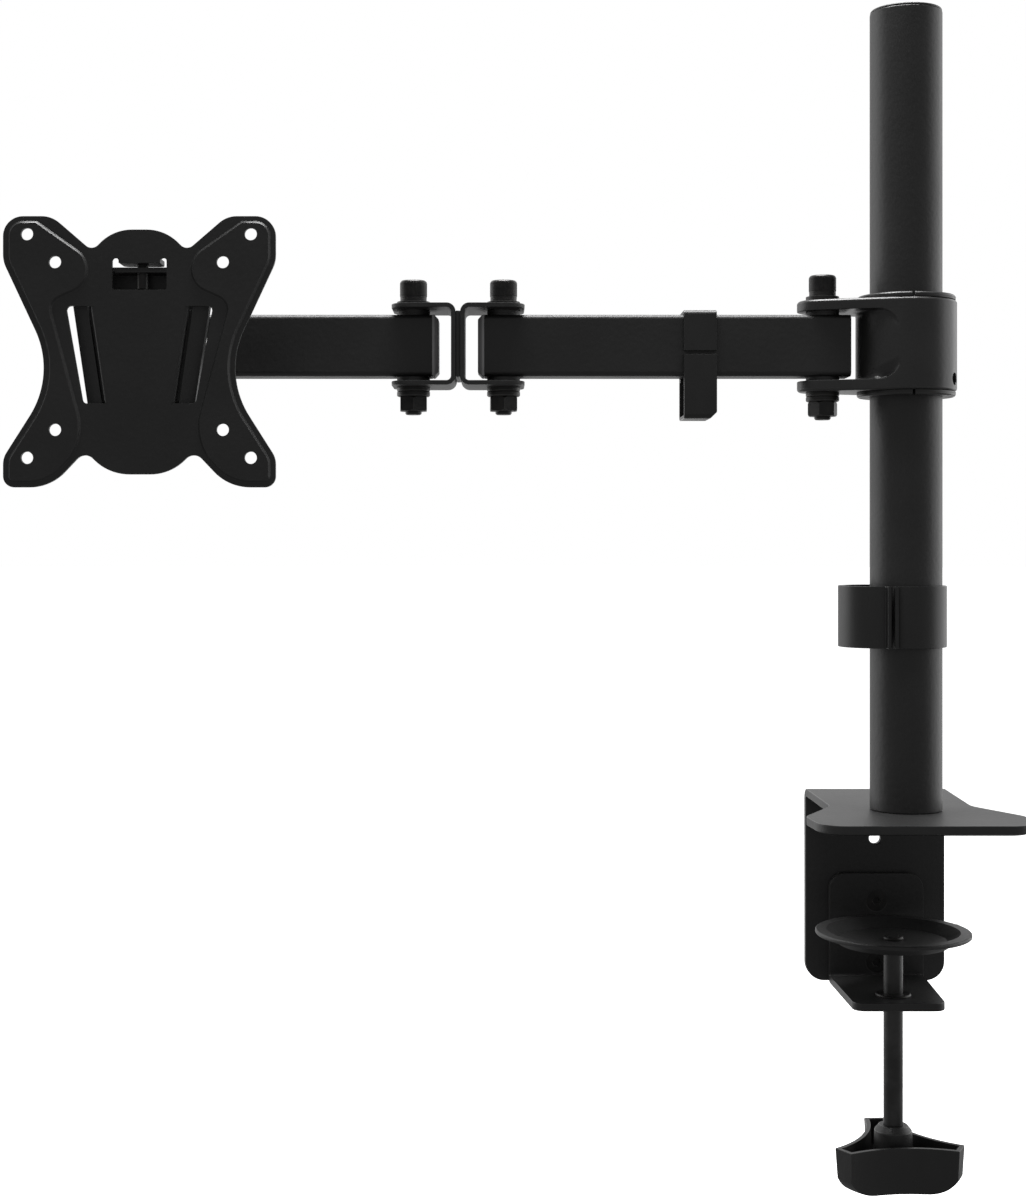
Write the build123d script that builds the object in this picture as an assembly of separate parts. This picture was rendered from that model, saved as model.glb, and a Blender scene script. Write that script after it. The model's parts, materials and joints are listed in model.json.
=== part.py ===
from build123d import *
import math
import os

# A desk-clamped arm for one screen, in millimetres, +Z up.
# The origin is on the pole's axis, on the underside of the pad that rests on the desk.
# The screen plate faces -Y, and the arm reaches out along -X from the pole.

# ---- desk clamp and pole ----
PAD = 1.0                  # foam pad between the clamp and the desk
SHEET = 4.0                # plate of the clamp bracket and the jaw bracket
DECK = PAD + SHEET         # top of the clamp bracket, where the pole stands
BACK_Y = 80.0              # rear face of the clamp bracket's upright
UPRIGHT_HALF = 37.0        # half the width of that upright
UPRIGHT_BOTTOM = -97.0
FRONT_Y = -53.0            # front edge of the deck
POLE_RADIUS = 17.5
POLE_WALL = 2.0
POLE_TOP = 397.0
POLE_CAP = 1.2
PLUG_HEIGHT = 12.0         # steel plug in the pole's foot
JAW_TOP = -93.4
JAW_HALF = 25.0
JAW_FRONT_HALF = 23.0
JAW_FRONT_Y = 12.0
JAW_UPRIGHT_TOP = -39.4
JAW_SCREW_PITCH = 32.5     # the upright has one more hole, to move the jaw up by this
JAW_SCREW_Z = (-86.5, -54.0)
SPINDLE_Y = 30.0
SPINDLE_RADIUS = 4.9
SPINDLE_BOTTOM = -183.0
NECK_RADIUS = 3.0          # spindle neck that the cup turns on
CUP_RADIUS = 39.0
CUP_TOP = -60.6
CUP_SHEET = 2.2
CUP_MOUTH = 33.4           # inner edge of the cup's flat rim
CUP_FLOOR = 27.0
CUP_DEPTH = 4.6
KNOB_TOP = -166.2
KNOB_HEIGHT = 23.3
KNOB_REACH = 34.8          # spindle axis to a wing's tip
KNOB_WAIST = 16.0          # spindle axis to the hollow between two wings
KNOB_TURN = -26.0          # degrees from +X to the first wing
KNOB_WALL = 2.2
KNOB_BOWL = 15.0           # height and run of the rounding at the wings' lower ends
KNOB_BOWL_RUN = 16.0

# ---- cable clips ----
CLIP_WALL = 1.8
POLE_CLIP_MOUTH = 118.0    # degrees each way from +X to where the clip leaves the pole
POLE_CLIP_LOOP_X = -32.1
POLE_CLIP_Z = 85.0
POLE_CLIP_HEIGHT = 30.0
ARM_CLIP_WALL = 1.7
ARM_CLIP_X = (-110.2, -94.2)
ARM_CLIP_BOTTOM = 196.3
ARM_CLIP_SLIT = 1.8        # gap at the channel's mouth, in the front wall
ARM_CLIP_SLIT_Z = 228.4

# ---- collar and arms ----
ARM_Z = 232.0              # height of both arms' centre line
COLLAR_RADIUS = 24.4
COLLAR_HALF = 22.3         # half the collar's height, and the ears' outer faces
COLLAR_GAP_HALF = 17.0     # ears' inner faces
EAR_RADIUS = 12.4
BUSH_RADIUS = 19.5         # outside of the split bush on the pole
BUSH_FLANGE = 2.5
TUBE_HEIGHT = 30.0
TUBE_WIDTH = 20.0
TUBE_WALL = 1.8
TUBE_CORNER = 2.4
TUBE_OVERHANG = 9.35       # tube end past a pivot
COLLAR_OVERHANG = 12.35    # tube end past the collar pivot
END_CAP = 3.2
END_CAP_PLUG = 4.0
COLLAR_PIVOT_X = -41.0
ELBOW_SPAN = 44.2          # between the two elbow pivots
ELBOW_X = -219.7           # middle of the elbow link
INNER_ELBOW_X = ELBOW_X + ELBOW_SPAN / 2
OUTER_ELBOW_X = ELBOW_X - ELBOW_SPAN / 2
HEAD_X = -361.0            # swivel pivot, and the middle of the screen plate
LINK_SPACER = 2.2

# ---- sheet brackets that hold the pivots ----
BRACKET = 2.2
BRACKET_GAP_HALF = 17.6
BRACKET_OUTER = BRACKET_GAP_HALF + BRACKET
BRACKET_TIP = 10.2         # ear tip past the pivot
BRACKET_WEB = 21.0         # pivot to the web's outer face
BRACKET_DEPTH = 38.0
BRACKET_BEND = 4.4
EAR_CORNER = 9.0

# ---- M8 pivots ----
BOLT = 4.0
HEAD_RADIUS = 6.5
HEAD_HEIGHT = 9.0
NUT_HALF = 6.5
NUT_HEIGHT = 7.2
WASHER_RADIUS = 8.1
WASHER = 2.3
LOCK_WASHER = 1.4
FIT = 0.06                 # radial clearance of a running fit
FACE = 0.05                # gap between faces that turn on each other
BUSHING_FLANGE = 1.2
BUSHING_RADIUS = 5.0

# ---- screen head ----
SCREEN_Z = ARM_Z - 7.5
YOKE_WIDTH = 34.0
TILT_Y = -54.0
TILT_SHEET = 2.4
TILT_OUTER = 17.6          # outer faces of the tilt yoke's ears
TILT_INNER = 13.0          # outer faces of the tilt bracket's ears
TILT_HEIGHT = 26.0
RIVET_Z = (-3.5, 9.5)      # from the screen's middle
ROTOR_BOLT = 5.0           # radius of the bolt that the screen turns on
PLATE_FRONT = -84.0        # face of the raised pads that touch the screen
PLATE = 2.2
PAD_RISE = 1.2
VESA = (100.0, 75.0)
SCREEN_HOLE = 2.75
TAPER = 0.147              # sideways run of the release wedge per millimetre of height
RAIL_Y = -80.2             # front of the release bracket's lips
RAIL_LIP = 2.2
RAIL_OUTER = 28.0          # half widths of the release bracket, at the screen's middle
RAIL_INNER = 21.0
RAIL_LOW = -27.0
RAIL_HIGH = 19.0
NECK_HALF = 17.0
NECK_BACK = -66.6
NECK_FRONT = -78.6
TAB_INNER = 17.4           # half width between the screen plate's wedge tabs
TAB_WALL = 2.0
TAB_LOW = -24.4
TAB_HIGH = 16.8
TAB_Y = (-77.7, -75.5)     # the tabs' lips, behind the release bracket's lips
TAB_BEND = 1.8
SLOT_OUTER = 29.8          # half width to the slots' outer edges, at the screen's middle
SLOT_TAPER = 0.177
WINDOW_LOW = 25.3
LATCH_HALF = 9.3
LATCH_BACK = -68.3
BASE_FRONT = -75.0
BASE = 2.4
WINDOW_HALF = 12.2
LATCH_Z = 37.3             # underside of the plate's latch tab, from the plate's middle
LATCH_Y = -73.8            # lock screw's axis


def disc(radius, low, high):
    """A solid cylinder on the Z axis between two heights."""
    return Pos(0, 0, low) * Cylinder(radius, high - low, align=(Align.CENTER, Align.CENTER, Align.MIN))


def ring(outer, inner, low, high):
    return disc(outer, low, high) - disc(inner, low - 1, high + 1)


def block(x, y, z):
    """A box from three (low, high) pairs."""
    size = [high - low for low, high in (x, y, z)]
    return Pos(x[0], y[0], z[0]) * Box(*size, align=(Align.MIN, Align.MIN, Align.MIN))


def rounded(corners, close=True):
    """A face with (x, y, radius) corners."""
    line = FilletPolyline(*[(x, y) for x, y, r in corners], radius=[r for x, y, r in corners], close=close)
    return make_face(line)


def mirrored(corners):
    """The corners of a right half, then their mirror images back to the start."""
    return corners + [(-x, y, r) for x, y, r in reversed(corners)]


def upright_face(face, front, back):
    """A face drawn in x and z, pushed out between two Y planes."""
    return extrude(Plane.XZ.offset(-back) * face, back - front)


def side_face(face, left, right):
    """A face drawn in y and z, pushed out between two X planes."""
    return extrude(Plane.YZ.offset(left) * face, right - left)


def hexagon(across_flats, low, high):
    return extrude(Pos(0, 0, low) * RegularPolygon(across_flats / 2, 6, major_radius=False), high - low)


# ---- fasteners ----
def cap_screw(under_head, tip, radius=BOLT, head_radius=HEAD_RADIUS, head_height=HEAD_HEIGHT, key=6.0):
    """A socket head screw along Z, its head on top."""
    top = under_head + head_height
    head = chamfer(disc(head_radius, under_head, top).edges().group_by(Axis.Z)[-1], 0.7)
    shank = chamfer(disc(radius, tip, under_head).edges().group_by(Axis.Z)[0], 0.6)
    return head + shank - hexagon(key, top - head_height / 2, top + 1)


def nut(low, high, bore=BOLT, half=NUT_HALF, turn=0.0):
    """A hexagon nut along Z with its corners chamfered."""
    corner = half / math.cos(math.pi / 6)
    body = chamfer(disc(corner, low, high).edges(), (corner - half) * 0.9)
    return Rot(0, 0, turn) * (hexagon(2 * half, low, high) & body) - disc(bore, low - 1, high + 1)


def countersunk_screw(head_radius, radius, depth, length, key):
    """A flat head screw along Z, its head's face at zero and its shank above it."""
    head = Cone(head_radius, radius, depth, align=(Align.CENTER, Align.CENTER, Align.MIN))
    return head + disc(radius, depth, length) - hexagon(key, -1, depth * 0.6)


def pivot_washers(ear_outer):
    """Top flat washer and lock washer, and the two disc washers under the lower ear."""
    flat = ear_outer + WASHER
    stack = [ring(WASHER_RADIUS, BOLT + 0.1, ear_outer, flat), lock_washer(flat)]
    for i in range(2):
        low = -ear_outer - (i + 1) * WASHER
        edge = ring(WASHER_RADIUS, BOLT + 0.1, low, low + WASHER)
        stack.append(chamfer(edge.edges().group_by(Axis.Z)[0], 0.5))
    return stack


def lock_washer(low):
    """A split lock washer."""
    slit = block((BOLT, WASHER_RADIUS), (-0.6, 0.6), (low - 1, low + LOCK_WASHER + 1))
    return ring(HEAD_RADIUS, BOLT + 0.1, low, low + LOCK_WASHER) - slit


def pivot_bolt(ear_outer):
    under_head = ear_outer + WASHER + LOCK_WASHER
    return cap_screw(under_head, -ear_outer - 2 * WASHER - NUT_HEIGHT - 1.7)


def pivot_nut(ear_outer, turn):
    top = -ear_outer - 2 * WASHER
    return nut(top - NUT_HEIGHT, top, turn=turn)


def thrust_washers(gap_half):
    """Thin washers that fill the gap from an arm's bushings to the bracket's ears."""
    low = TUBE_HEIGHT / 2 + BUSHING_FLANGE + FACE
    upper = ring(WASHER_RADIUS, BOLT + 0.1, low, gap_half)
    return [upper, mirror(upper, Plane.XY)]


def bushings():
    """Flanged bushings pressed into an arm's top and bottom walls."""
    wall = TUBE_HEIGHT / 2
    flange = ring(WASHER_RADIUS, BOLT + FIT, wall, wall + BUSHING_FLANGE)
    upper = flange + ring(BUSHING_RADIUS, BOLT + FIT, wall - TUBE_WALL - 0.8, wall)
    return [upper, mirror(upper, Plane.XY)]


# ---- desk clamp ----
def deck_outline():
    """The butterfly outline of the clamp bracket's deck."""
    half = [(50.0, FRONT_Y, 13.0), (53.0, -22.0, 13.0), (35.2, 12.0, 20.0), (UPRIGHT_HALF, BACK_Y, 0)]
    return rounded(mirrored(half))


def bent_plate(front, top, back, bottom, sheet, bend, inner_bend, level_on_top):
    """An L of bent sheet seen from the side: a level plate at the front, an upright at the back."""
    fold = top if level_on_top else bottom
    lift = -sheet if level_on_top else sheet
    free = bottom if level_on_top else top
    corners = [
        (front, fold, 0),
        (front, fold + lift, 0),
        (back - sheet, fold + lift, inner_bend),
        (back - sheet, free, 0),
        (back, free, 0),
        (back, fold, bend),
    ]
    return side_face(rounded(corners), -60, 60)


def corners_at(body, height):
    """The two short edges through an upright's sheet at one height."""
    level = body.edges().filter_by(lambda e: abs(e.center().Z - height) < 0.01)
    return level.filter_by(lambda e: e.length < SHEET + 0.1)


def clamp_bracket():
    body = bent_plate(FRONT_Y - 1, DECK, BACK_Y, UPRIGHT_BOTTOM, SHEET, 6.0, 2.0, True)
    body &= extrude(Pos(0, 0, UPRIGHT_BOTTOM) * deck_outline(), DECK - UPRIGHT_BOTTOM)
    body = fillet(corners_at(body, UPRIGHT_BOTTOM), 10.0)
    spare_z = JAW_SCREW_Z[-1] + JAW_SCREW_PITCH
    for z in (*JAW_SCREW_Z, spare_z):
        body -= Pos(0, BACK_Y, z) * Rot(90, 0, 0) * disc(3.0, -1, SHEET + 1)
    body -= Pos(0, BACK_Y - SHEET, spare_z) * Rot(-90, 0, 0) * countersink(3.6, 2.4, 1.2)
    return body - Pos(0, 0, PAD) * countersink(8.0, BOLT, SHEET)


def countersink(head_radius, radius, depth):
    return Cone(head_radius, radius, depth, align=(Align.CENTER, Align.CENTER, Align.MIN))


def desk_pad():
    pad = offset(deck_outline(), -3.0) - Pos(0, BACK_Y) * Rectangle(120, 2 * (BACK_Y - 66.0))
    return extrude(pad, PAD)


def pole_tube():
    tube = ring(POLE_RADIUS, POLE_RADIUS - POLE_WALL, DECK, POLE_TOP - POLE_CAP)
    rims = tube.edges().filter_by(GeomType.CIRCLE).filter_by(lambda e: e.radius > POLE_RADIUS - 0.1)
    return chamfer(rims, 0.4)


def pole_cap():
    bore = POLE_RADIUS - POLE_WALL
    top = fillet(disc(POLE_RADIUS - 0.2, POLE_TOP - POLE_CAP, POLE_TOP).edges().group_by(Axis.Z)[-1], 0.8)
    return top + ring(bore, bore - 2.0, POLE_TOP - 12.0, POLE_TOP - POLE_CAP)


def pole_base_plug():
    return ring(POLE_RADIUS - POLE_WALL, BOLT, DECK, DECK + PLUG_HEIGHT)


def pole_bolt():
    return Pos(0, 0, PAD) * countersunk_screw(8.0, BOLT, SHEET, SHEET + PLUG_HEIGHT - 1, 5.0)


def jaw_bracket():
    """The lower L bracket: an upright on the clamp bracket, and the jaw that holds the spindle."""
    face_y = BACK_Y - SHEET
    bottom = JAW_TOP - SHEET
    body = bent_plate(JAW_FRONT_Y - 1, JAW_UPRIGHT_TOP, face_y, bottom, SHEET, 5.0, 1.2, False)
    plan = [(JAW_FRONT_HALF, JAW_FRONT_Y, 6.0), (JAW_HALF, face_y, 0)]
    body &= extrude(Pos(0, 0, bottom) * rounded(mirrored(plan)), JAW_UPRIGHT_TOP - bottom)
    body = fillet(corners_at(body, JAW_UPRIGHT_TOP), 8.5)
    body -= Pos(0, SPINDLE_Y, 0) * disc(7.0, bottom - 1, JAW_TOP + 1)
    for z in JAW_SCREW_Z:
        place = Pos(0, face_y - SHEET, z) * Rot(-90, 0, 0)
        body -= place * (countersink(5.5, 3.0, 2.5) + disc(3.0, 0, SHEET + 1))
    return body


def jaw_screws():
    place = [Pos(0, BACK_Y - 2 * SHEET, z) * Rot(-90, 0, 0) for z in JAW_SCREW_Z]
    return [at * countersunk_screw(5.5, 3.0, 2.5, 2 * SHEET, 4.0) for at in place]


def jaw_thread_insert():
    """A flanged threaded insert pressed into the jaw."""
    bore = SPINDLE_RADIUS + FIT
    body = ring(7.0, bore, JAW_TOP - SHEET, JAW_TOP)
    flange = chamfer(disc(9.0, JAW_TOP, JAW_TOP + 1.2).edges().group_by(Axis.Z)[-1], 0.6)
    return Pos(0, SPINDLE_Y, 0) * (body + flange - disc(bore, JAW_TOP - 1, JAW_TOP + 2))


def pressure_cup():
    """The dished cup that presses up under the desk."""
    floor = CUP_TOP - CUP_DEPTH
    profile = [
        (NECK_RADIUS + FIT, floor),
        (CUP_FLOOR, floor),
        (CUP_MOUTH, CUP_TOP),
        (CUP_RADIUS, CUP_TOP),
        (CUP_RADIUS, CUP_TOP - CUP_SHEET),
        (CUP_MOUTH + 0.6, CUP_TOP - CUP_SHEET),
        (CUP_FLOOR + 0.6, floor - CUP_SHEET),
        (NECK_RADIUS + FIT, floor - CUP_SHEET),
    ]
    cup = revolve(Plane.XZ * make_face(Polyline(*profile, close=True)), Axis.Z)
    rim = cup.edges().filter_by(GeomType.CIRCLE).filter_by(lambda e: e.radius > CUP_RADIUS - 0.1)
    return Pos(0, SPINDLE_Y, 0) * fillet(rim, 0.8)


def spindle():
    shoulder = CUP_TOP - CUP_DEPTH - CUP_SHEET - FACE
    rod = chamfer(disc(SPINDLE_RADIUS, SPINDLE_BOTTOM, shoulder).edges().group_by(Axis.Z)[-1], 0.6)
    neck = disc(NECK_RADIUS, shoulder, CUP_TOP - CUP_DEPTH + FACE + 1.6)
    return Pos(0, SPINDLE_Y, 0) * (rod + neck)


def cup_retainer():
    """The domed ring swaged onto the spindle's neck, which keeps the cup on."""
    low = CUP_TOP - CUP_DEPTH + FACE
    dome = fillet(disc(5.2, low, low + 1.6).edges().group_by(Axis.Z)[-1], 1.2)
    return Pos(0, SPINDLE_Y, 0) * (dome - disc(NECK_RADIUS, low - 1, low + 3))


def knob_plan(inset):
    """Three flat-ended wings joined by hollows, all moved in by the inset."""
    half_tip = 5.8 - inset
    reach = KNOB_REACH - inset
    lines = []
    for i in range(3):
        angle = math.radians(KNOB_TURN + 120 * i)
        out = Vector(math.cos(angle), math.sin(angle))
        across = Vector(-math.sin(angle), math.cos(angle))
        later = angle + math.radians(120)
        next_out = Vector(math.cos(later), math.sin(later))
        next_across = Vector(-math.sin(later), math.cos(later))
        start = out * reach + across * half_tip
        end = next_out * reach - next_across * half_tip
        middle = (out + next_out) * (KNOB_WAIST - inset)
        lines.append(Line(out * reach - across * half_tip, start))
        lines.append(ThreePointArc(start, middle, end))
    return make_face(Wire(lines))


def knob_bowl(inset):
    """The knob's outside or inside: the winged plan, tapered, with its lower edge rounded as a bowl."""
    low = KNOB_TOP - KNOB_HEIGHT + inset
    high = KNOB_TOP + inset / 4
    wings = extrude(Pos(0, 0, high) * knob_plan(inset), low - high, taper=3)
    rim = KNOB_REACH + 1 - inset
    turn = low + KNOB_BOWL
    outline = [
        Line((0, low), (rim - KNOB_BOWL_RUN, low)),
        EllipticalCenterArc((rim - KNOB_BOWL_RUN, turn), KNOB_BOWL_RUN, KNOB_BOWL, -90, arc_size=90),
        Line((rim, turn), (rim, high + 1)),
        Line((rim, high + 1), (0, high + 1)),
        Line((0, high + 1), (0, low)),
    ]
    return wings & revolve(Plane.XZ * make_face(Wire(outline)), Axis.Z)


def knob():
    """A hollow three-winged hand knob, open at the top, with a flared boss round the spindle."""
    bottom = KNOB_TOP - KNOB_HEIGHT
    shell = knob_bowl(0) - knob_bowl(KNOB_WALL)
    flare_top = KNOB_TOP + 7.2
    profile = [
        (0, bottom + KNOB_WALL),
        (10.5, bottom + KNOB_WALL),
        (9.4, KNOB_TOP + 4.5),
        (7.2, flare_top),
        (0, flare_top),
    ]
    boss = revolve(Plane.XZ * make_face(Polyline(*profile, close=True)), Axis.Z)
    body = shell + boss - disc(SPINDLE_RADIUS, SPINDLE_BOTTOM, flare_top + 1)
    return Pos(0, SPINDLE_Y, 0) * body


# ---- cable clips ----
def pole_clip():
    """A sprung clip round the pole, with a cable loop on its left and two lips at the loop's mouth."""
    middle = POLE_RADIUS + 0.3 + CLIP_WALL / 2
    ends = [Vector(middle, 0).rotate(Axis.Z, angle) for angle in (-POLE_CLIP_MOUTH, POLE_CLIP_MOUTH)]
    grip = CenterArc((0, 0), middle, -POLE_CLIP_MOUTH, 2 * POLE_CLIP_MOUTH)
    loop_end = Vector(-12.6, -16.0)
    loop = ThreePointArc(ends[1], (POLE_CLIP_LOOP_X, 0.5), loop_end)
    lips = [Line(ends[0], ends[0] + Vector(0.2, -3.6)), Line(loop_end, loop_end + Vector(0.7, -3.6))]
    face = trace([grip, loop, *lips], line_width=CLIP_WALL)
    return extrude(Pos(0, 0, POLE_CLIP_Z) * face, POLE_CLIP_HEIGHT)


def arm_clip():
    """A clip over the inner arm, with a cable channel under the arm that opens at the front."""
    room = 0.3 + ARM_CLIP_WALL / 2
    half = TUBE_WIDTH / 2 + room
    top = ARM_Z + TUBE_HEIGHT / 2 + room
    hook_z = ARM_Z - TUBE_HEIGHT / 2 - room
    floor = ARM_CLIP_BOTTOM + ARM_CLIP_WALL / 2
    flap = -half - ARM_CLIP_SLIT / 2
    high, low = ARM_CLIP_SLIT_Z + ARM_CLIP_SLIT / 2, ARM_CLIP_SLIT_Z - ARM_CLIP_SLIT / 2
    corners = [(-half, high), (-half, top), (half, top), (half, floor), (flap, floor), (flap, low)]
    path = FilletPolyline(*corners, radius=1.4)
    hook = Line((half, hook_z), (half - 4.5, hook_z))
    body = side_face(trace([path, hook], line_width=ARM_CLIP_WALL), *ARM_CLIP_X)
    return body - Pos(ARM_CLIP_X[1], 0, ARM_CLIP_BOTTOM) * Rot(0, 45, 0) * Box(4.4, 60, 4.4)


# ---- collar ----
def pole_bush():
    """One split flanged bush between the pole and the collar, seen as the upper one."""
    sleeve = ring(BUSH_RADIUS, POLE_RADIUS + FIT, 0.5, COLLAR_HALF + FACE)
    flange = ring(COLLAR_RADIUS - 0.6, POLE_RADIUS + FIT, COLLAR_HALF + FACE, COLLAR_HALF + BUSH_FLANGE)
    rim = flange.edges().filter_by(GeomType.CIRCLE).filter_by(lambda e: e.radius > COLLAR_RADIUS - 0.7)
    bush = sleeve + chamfer(rim.sort_by(Axis.Z)[-1], 0.8)
    slit = Rot(0, 0, -93) * block((POLE_RADIUS - 1, COLLAR_RADIUS + 1), (-0.6, 0.6), (-1, 40))
    return bush - slit


def upper_bush():
    return Pos(0, 0, ARM_Z) * pole_bush()


def lower_bush():
    return Pos(0, 0, ARM_Z) * mirror(pole_bush(), Plane.XY)


def collar():
    """The cast collar: a barrel round the pole and two ears that taper to the arm's pivot."""
    pivot = Pos(COLLAR_PIVOT_X, 0)
    plan = make_hull([*Circle(COLLAR_RADIUS).edges(), *(pivot * Circle(EAR_RADIUS)).edges()])
    body = extrude(Pos(0, 0, -COLLAR_HALF) * plan, 2 * COLLAR_HALF)
    rims = body.edges().group_by(Axis.Z)
    body = chamfer(rims[-1] + rims[0], 1.0)
    gap = block((-70, 0), (-40, 40), (-COLLAR_GAP_HALF, COLLAR_GAP_HALF))
    body -= gap - disc(COLLAR_RADIUS, -COLLAR_HALF, COLLAR_HALF)
    roots = body.edges().filter_by(GeomType.CIRCLE).filter_by(
        lambda e: abs(e.radius - COLLAR_RADIUS) < 0.01 and abs(abs(e.center().Z) - COLLAR_GAP_HALF) < 0.01
    )
    body = fillet(roots, 2.4)
    body -= disc(BUSH_RADIUS + FIT, -40, 40)
    body -= pivot * disc(BOLT + 0.1, -40, 40)
    return Pos(0, 0, ARM_Z) * (body - set_screw_place() * disc(3.0, BUSH_RADIUS - 1, COLLAR_RADIUS + 2))


def set_screw_place():
    """The set screw's axis, outwards from the pole, low on the collar's front right."""
    return Pos(0, 0, -16.5) * Rot(0, 0, -30) * Rot(0, 90, 0)


def collar_set_screw():
    """A socket set screw that locks the collar on the pole."""
    low = BUSH_RADIUS + 0.4
    body = chamfer(disc(3.0, low, COLLAR_RADIUS - 2.0).edges(), 0.4)
    return Pos(0, 0, ARM_Z) * set_screw_place() * (body - hexagon(3.0, COLLAR_RADIUS - 4.0, COLLAR_RADIUS))


def pivot_at(x, shapes):
    """The same pieces moved to a pivot on the arms' centre line."""
    place = Pos(x, 0, ARM_Z)
    return [place * shape for shape in shapes] if isinstance(shapes, list) else place * shapes


# ---- arms ----
def arm_tube(right, left, pivots):
    """A rectangular tube along X with bushing holes at its pivots."""
    section = RectangleRounded(TUBE_WIDTH, TUBE_HEIGHT, TUBE_CORNER)
    inside = (TUBE_WIDTH - 2 * TUBE_WALL, TUBE_HEIGHT - 2 * TUBE_WALL)
    bore = RectangleRounded(*inside, TUBE_CORNER - TUBE_WALL)
    tube = extrude(Plane.YZ.offset(left) * (section - bore), right - left)
    for x in pivots:
        tube -= Pos(x, 0, 0) * disc(BUSHING_RADIUS, -TUBE_HEIGHT, TUBE_HEIGHT)
    return Pos(0, 0, ARM_Z) * tube


def tube_filler(left, right):
    """A block that fills a tube's bore between two X planes."""
    width, height = TUBE_WIDTH / 2 - TUBE_WALL, TUBE_HEIGHT / 2 - TUBE_WALL
    plug = block((left, right), (-width, width), (-height, height))
    return fillet(plug.edges().filter_by(Axis.X), TUBE_CORNER - TUBE_WALL)


def end_cap(tube_end, outwards):
    """A plastic cap that stands out of a tube's end, with a chamfered face and a plug."""
    width, height = TUBE_WIDTH / 2 - 0.2, TUBE_HEIGHT / 2 - 0.2
    flange = block((0, END_CAP), (-width, width), (-height, height))
    flange = chamfer(flange.faces().sort_by(Axis.X)[-1].edges(), 2.0)
    cap = flange + tube_filler(-END_CAP_PLUG, 0)
    return Pos(tube_end, 0, ARM_Z) * Rot(0, 0, 0 if outwards > 0 else 180) * cap


def tube_plug():
    """A plug set just inside the collar end of the inner arm."""
    end = COLLAR_PIVOT_X + COLLAR_OVERHANG - 0.6
    return Pos(0, 0, ARM_Z) * tube_filler(end - 3.0, end)


def pivot_bracket(depth):
    """A U bracket of bent sheet: ears above and below a pivot at the origin, web towards +X."""
    def bend(tip, web, half, radius):
        return rounded([(tip, -half, 0), (web, -half, radius), (web, half, radius), (tip, half, 0)])

    outer = bend(-BRACKET_TIP, BRACKET_WEB, BRACKET_OUTER, BRACKET_BEND)
    inner = bend(-BRACKET_TIP - 1, BRACKET_WEB - BRACKET, BRACKET_GAP_HALF, BRACKET_BEND - BRACKET)
    half = depth / 2
    body = upright_face(outer - inner, -half, half)
    tip, web = -BRACKET_TIP, BRACKET_WEB
    plan = [(tip, -half, EAR_CORNER), (web, -half, 0), (web, half, 0), (tip, half, EAR_CORNER)]
    body &= extrude(Pos(0, 0, -BRACKET_OUTER) * rounded(plan), 2 * BRACKET_OUTER)
    return body - disc(BOLT + 0.1, -40, 40)


def elbow_spacer():
    half = BRACKET_OUTER - BRACKET_BEND + 0.6
    plate = Box(LINK_SPACER, BRACKET_DEPTH - 2.4, 2 * half)
    return Pos(ELBOW_X, 0, ARM_Z) * plate


# ---- screen head ----
def head_at(shape):
    return Pos(HEAD_X, 0, SCREEN_Z) * shape


def tilt_channel(half, web_back, web_front, ear_tip):
    """A channel that opens along Y, its ears rounded about the tilt axis."""
    low, high = min(web_back, ear_tip), max(web_back, ear_tip)
    reach = abs(ear_tip - TILT_Y)
    outer = block((-half, half), (low, high), (-TILT_HEIGHT / 2, TILT_HEIGHT / 2))
    bends = outer.edges().filter_by(Axis.Z).filter_by(lambda e: abs(e.center().Y - web_back) < 0.01)
    outer = fillet(bends, 3.6)
    inside = half - TILT_SHEET
    open_y = ear_tip - 5 if ear_tip < web_back else ear_tip + 5
    outer -= block((-inside, inside), (min(web_front, open_y), max(web_front, open_y)), (-40, 40))
    start = min(web_back, TILT_Y), max(web_back, TILT_Y)
    web_side = Pos((start[0] + start[1]) / 2, 0) * Rectangle(start[1] - start[0], TILT_HEIGHT)
    ear = web_side + Pos(TILT_Y, 0) * Circle(reach)
    return outer & side_face(ear, -half - 1, half + 1)


def tilt_yoke():
    """The outer tilt channel, riveted to the swivel yoke's web."""
    back = -BRACKET_WEB
    body = tilt_channel(TILT_OUTER, back, back - TILT_SHEET, TILT_Y - 11.0)
    body -= Pos(0, TILT_Y, 0) * Rot(0, 90, 0) * disc(BOLT + 0.1, -30, 30)
    for z in RIVET_Z:
        body -= Pos(0, 0, z) * Rot(90, 0, 0) * disc(2.5, 0, 40)
    return head_at(body)


def yoke_rivets():
    back = BRACKET_WEB - BRACKET
    length = BRACKET + TILT_SHEET
    rivets = []
    for z in RIVET_Z:
        shank = disc(2.5, back, back + length)
        heads = [disc(4.4, back - 1.3, back), disc(4.4, back + length, back + length + 1.3)]
        heads[0] = fillet(heads[0].edges().group_by(Axis.Z)[0], 0.9)
        heads[1] = fillet(heads[1].edges().group_by(Axis.Z)[-1], 0.9)
        rivets.append(head_at(Pos(0, 0, z) * Rot(90, 0, 0) * (shank + heads[0] + heads[1])))
    return rivets


def swivel_yoke():
    body = Pos(HEAD_X, 0, ARM_Z) * Rot(0, 0, -90) * pivot_bracket(YOKE_WIDTH)
    for z in RIVET_Z:
        body -= head_at(Pos(0, 0, z) * Rot(90, 0, 0) * disc(2.5, 0, 40))
    return body


def tilt_place(shape):
    """Turns a pivot's local Z to +X, on the tilt axis."""
    return head_at(Pos(0, TILT_Y, 0) * Rot(0, 90, 0) * shape)


def tilt_bolt():
    return tilt_place(cap_screw(TILT_OUTER + 2.8, -TILT_OUTER - 10.4))


def tilt_nut():
    return tilt_place(nut(-TILT_OUTER - 8.9, -TILT_OUTER - 1.6, turn=20))


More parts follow.
